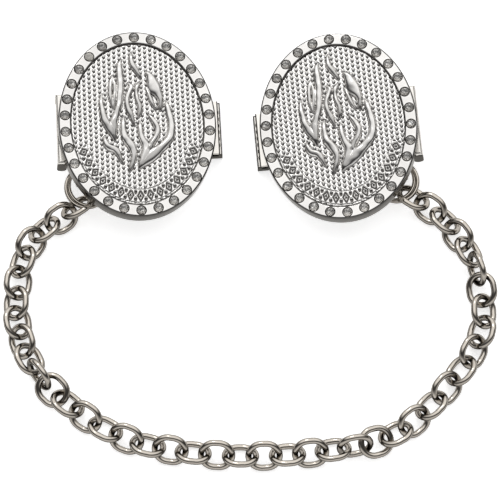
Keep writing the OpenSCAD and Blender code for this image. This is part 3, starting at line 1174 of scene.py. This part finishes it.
class MechanismSettings(bpy.types.PropertyGroup):
    """Look of the channels, levers, pins, springs and hooks."""
    colour: tint("Sheet colour", "Colour of the plated sheet", (0.72, 0.695, 0.655))
    # Colour of the painted shade on the sheets' marked edges and the ears' outer sides
    edge_shade_colour: tint("Shade colour", "Colour of shaded edges", (0.045, 0.042, 0.038))
    steel: tint("Spring colour", "Colour of the spring wire", (0.46, 0.45, 0.435))
    roughness: share("Roughness", "How dull the plated sheet is", 0.22)


class ChainSettings(bpy.types.PropertyGroup):
    """Look of the chain and the end rings."""
    colour: tint("Wire colour", "Colour of the plated wire", (0.53, 0.486, 0.43))
    roughness: share("Roughness", "How dull the plated wire is", 0.09)


class StageSettings(bpy.types.PropertyGroup):
    """Camera, floor and lights."""
    elevation: number(
        "Camera elevation", "Angle over the table", math.radians(73.5), subtype="ANGLE",
    )
    distance: number(
        "Camera distance", "From the camera to its target", 0.48, subtype="DISTANCE", unit="LENGTH",
    )
    pixel: number(
        "Picture scale", "What one picture point covers at the object", 0.0002065,
        subtype="DISTANCE", unit="LENGTH", precision=6,
    )
    back_light: number("Light from behind", "How much the light leans to the back", 0.85)
    side_light: number("Light from the sides", "How far it wraps round the sides", 0.1)
    strength: number("Tent light", "Strength of the light tent", 1.45, min=0)
    glow: number("Table glow", "Light that the white table itself gives off", 0.6, min=0)


# Operators

class CLIPS_OT_plates(bpy.types.Operator):
    """Builds the oval dishes with their drilled stone seats."""
    bl_idname = "clips.plates"
    bl_label = "Face plates"

    def execute(self, context):
        look = context.scene.clip_plate
        # Painted shade on the dish's steep walls and at the places that its mesh marks, with the rim's
        # wear haze.
        material = metal(
            "bright_plating", look.colour, look.roughness, grain=0.12, clouding=0.12,
            recess=look.recess_colour, side_shade=0.75,
        )
        for side, name in enumerate(SIDES):
            bm = carve(dish_mesh(look.edge_round, floor_drop=0.1), [seat_cutters()], "DIFFERENCE")
            piece = new_piece(
                f"{name}_dish", bm, dish_place(side), [material], smooth=40, flat_faces=True,
            )
            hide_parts(f"{name}_plate")
        return {"FINISHED"}


class CLIPS_OT_reliefs(bpy.types.Operator):
    """Builds the sunk fields with their hobnail ground, flames and border."""
    bl_idname = "clips.reliefs"
    bl_label = "Relief fields"

    def execute(self, context):
        look = context.scene.clip_plate
        # Painted shade in the relief's low places and on the flames.
        material = metal(
            "relief_plating", look.colour, look.roughness, grain=0.1, clouding=0.06,
            recess=look.recess_colour,
        )
        for side, name in enumerate(SIDES):
            bm = relief_mesh(side, look)
            piece = new_piece(f"{name}_relief", bm, dish_place(side), [material])
            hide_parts(f"{name}_plate")
        return {"FINISHED"}


class CLIPS_OT_crystals(bpy.types.Operator):
    """Builds the rims' cut crystals and the cups that hold them."""
    bl_idname = "clips.crystals"
    bl_label = "Crystals"

    def execute(self, context):
        look = context.scene.clip_crystal
        glass = crystal_glass("cut_glass", look.colour, milk=0.0)
        milky = crystal_glass("milky_glass", look.milky, milk=0.4)
        foil = metal("foil_back", look.foil, 0.12, grain=0.05, clouding=0.2)
        worn_foil = metal("worn_foil", look.worn_foil, 0.3, grain=0.1, clouding=0.3)
        setting = metal("dark_setting", look.setting, 0.35, grain=0.2, clouding=0.3)
        draw = np.random.default_rng(7)
        for side, name in enumerate(SIDES):
            stones, cups = bmesh.new(), bmesh.new()
            for i, (x, y) in enumerate(stone_spots()):
                spot = (x, y, PLATE_TOP)
                before = len(stones.faces)
                turn = draw.uniform(0, TAU)
                lean = math.radians(draw.uniform(-STONE_LEAN, STONE_LEAN))
                add_crystal(stones, spot, turn, lean, draw.uniform(0, TAU), STONE_RISE - 0.05)
                if side == 0 and i == look.pale_stone:
                    make_milky(stones, before)
                add_cup(cups, spot)
            materials = [glass, foil, worn_foil, milky]
            piece = new_piece(f"{name}_crystals", stones, dish_place(side), materials, smooth=0)
            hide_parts(f"{name}_stones")
            piece = new_piece(f"{name}_settings", cups, dish_place(side), [setting], smooth=40)
            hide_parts(f"{name}_stones")
        return {"FINISHED"}


class CLIPS_OT_channels(bpy.types.Operator):
    """Builds the channels under the plates and the wire hooks that hold the rings."""
    bl_idname = "clips.channels"
    bl_label = "Channels and hooks"

    def execute(self, context):
        look = context.scene.clip_mechanism
        material = sheet_metal("plated_sheet_metal", look)
        for side, name in enumerate(SIDES):
            piece = new_piece(
                f"{name}_channel", channel_mesh(), plate_place(side), [material], smooth=35,
                flat_faces=True,
            )
            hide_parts(f"{name}_plate")
            piece = new_piece(f"{name}_hook", hook_mesh(), plate_place(side), [material])
            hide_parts(f"{name}_plate")
        return {"FINISHED"}


class CLIPS_OT_levers(bpy.types.Operator):
    """Builds the jaw levers and the pins that they turn on."""
    bl_idname = "clips.levers"
    bl_label = "Jaw levers and pins"

    def execute(self, context):
        look = context.scene.clip_mechanism
        material = sheet_metal("plated_lever", look)
        for side, name in enumerate(SIDES):
            piece = new_piece(
                f"{name}_jaw_lever", lever_mesh(), clip_place(side), [material], smooth=35,
                body=f"{name}_jaw", flat_faces=True,
            )
            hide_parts(f"{name}_lever")
            piece = new_piece(
                f"{name}_hinge_pin", pin_mesh(), clip_place(side), [material], smooth=50,
            )
            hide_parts(f"{name}_pin")
        return {"FINISHED"}


class CLIPS_OT_springs(bpy.types.Operator):
    """Builds the coil springs, whose last turn moves with the lever."""
    bl_idname = "clips.springs"
    bl_label = "Springs"

    def execute(self, context):
        look = context.scene.clip_mechanism
        material = metal("spring_wire", look.steel, 0.28, grain=0.3, clouding=0.15)
        for side, name in enumerate(SIDES):
            for label, path, radius, place, body in (
                ("spring", spring_path(), SPRING_WIRE_R, plate_place(side), ROOT),
                ("spring_arm", spring_arm_path(), SPRING_ARM_R, clip_place(side), f"{name}_jaw"),
            ):
                bm = wire(path, radius, sides=12)
                piece = new_piece(f"{name}_{label}_wire", bm, place, [material], 60, body)
                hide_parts(f"{name}_{label}")
        return {"FINISHED"}


class CLIPS_OT_rings(bpy.types.Operator):
    """Builds the split rings between the clips and the chain."""
    bl_idname = "clips.rings"
    bl_label = "End rings"

    def execute(self, context):
        look = context.scene.clip_chain
        material = wire_metal("ring_wire", look)
        path = ring_path(start=math.radians(200))
        for side, name in enumerate(SIDES):
            place = (
                clip_place(side)
                @ Matrix.Rotation(RING_ANGLE, 4, "Z")
                @ Matrix.Translation((RING_REACH, 0, RING_Z))
                @ Matrix.Rotation(RING_TILT, 4, "Y")
            )
            bm = wire(path, RING_WIRE_R, sides=20)
            piece = new_piece(f"{name}_split_ring", bm, place, [material], smooth=60)
            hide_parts(f"{name}_ring")
        return {"FINISHED"}


class CLIPS_OT_links(bpy.types.Operator):
    """Builds the chain's links."""
    bl_idname = "clips.links"
    bl_label = "Chain links"

    def execute(self, context):
        look = context.scene.clip_chain
        material = wire_metal("warm_nickel_wire", look)
        for i in range(1, LINKS + 1):
            piece = new_piece(f"chain_link_{i:02d}", link_mesh(), link_place(i), [material])
            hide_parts(f"link_{i:02d}")
        return {"FINISHED"}


class CLIPS_OT_stage(bpy.types.Operator):
    """Sets the floor, the lights and the camera."""
    bl_idname = "clips.stage"
    bl_label = "Stage"

    def execute(self, context):
        look = context.scene.clip_stage
        context.scene.view_settings.view_transform = "Standard"
        add_camera(look)
        add_floor(look)
        add_tent(look)
        add_lamp()
        return {"FINISHED"}


class CLIPS_PT_pieces(bpy.types.Panel):
    """Lists the pieces in the order that they are built."""
    bl_label = "Clips"
    bl_idname = "CLIPS_PT_pieces"
    bl_space_type = "VIEW_3D"
    bl_region_type = "UI"
    bl_category = "Clips"

    def draw(self, context):
        for operator in OPERATORS:
            self.layout.operator(operator.bl_idname)


OPERATORS = (
    CLIPS_OT_plates, CLIPS_OT_reliefs, CLIPS_OT_crystals, CLIPS_OT_channels, CLIPS_OT_levers,
    CLIPS_OT_springs, CLIPS_OT_rings, CLIPS_OT_links, CLIPS_OT_stage,
)
SETTINGS = {
    "clip_plate": PlateSettings,
    "clip_crystal": CrystalSettings,
    "clip_mechanism": MechanismSettings,
    "clip_chain": ChainSettings,
    "clip_stage": StageSettings,
}


def register():
    for kind in (*SETTINGS.values(), *OPERATORS, CLIPS_PT_pieces):
        bpy.utils.register_class(kind)
    for name, group in SETTINGS.items():
        setattr(bpy.types.Scene, name, bpy.props.PointerProperty(type=group))


def unregister():
    for name in SETTINGS:
        delattr(bpy.types.Scene, name)
    for kind in (CLIPS_PT_pieces, *OPERATORS, *SETTINGS.values()):
        bpy.utils.unregister_class(kind)


def main():
    register()
    bpy.ops.clips.plates()
    bpy.ops.clips.reliefs()
    bpy.ops.clips.crystals()
    bpy.ops.clips.channels()
    bpy.ops.clips.levers()
    bpy.ops.clips.springs()
    bpy.ops.clips.rings()
    bpy.ops.clips.links()
    bpy.ops.clips.stage()


if __name__ == "__main__":
    main()
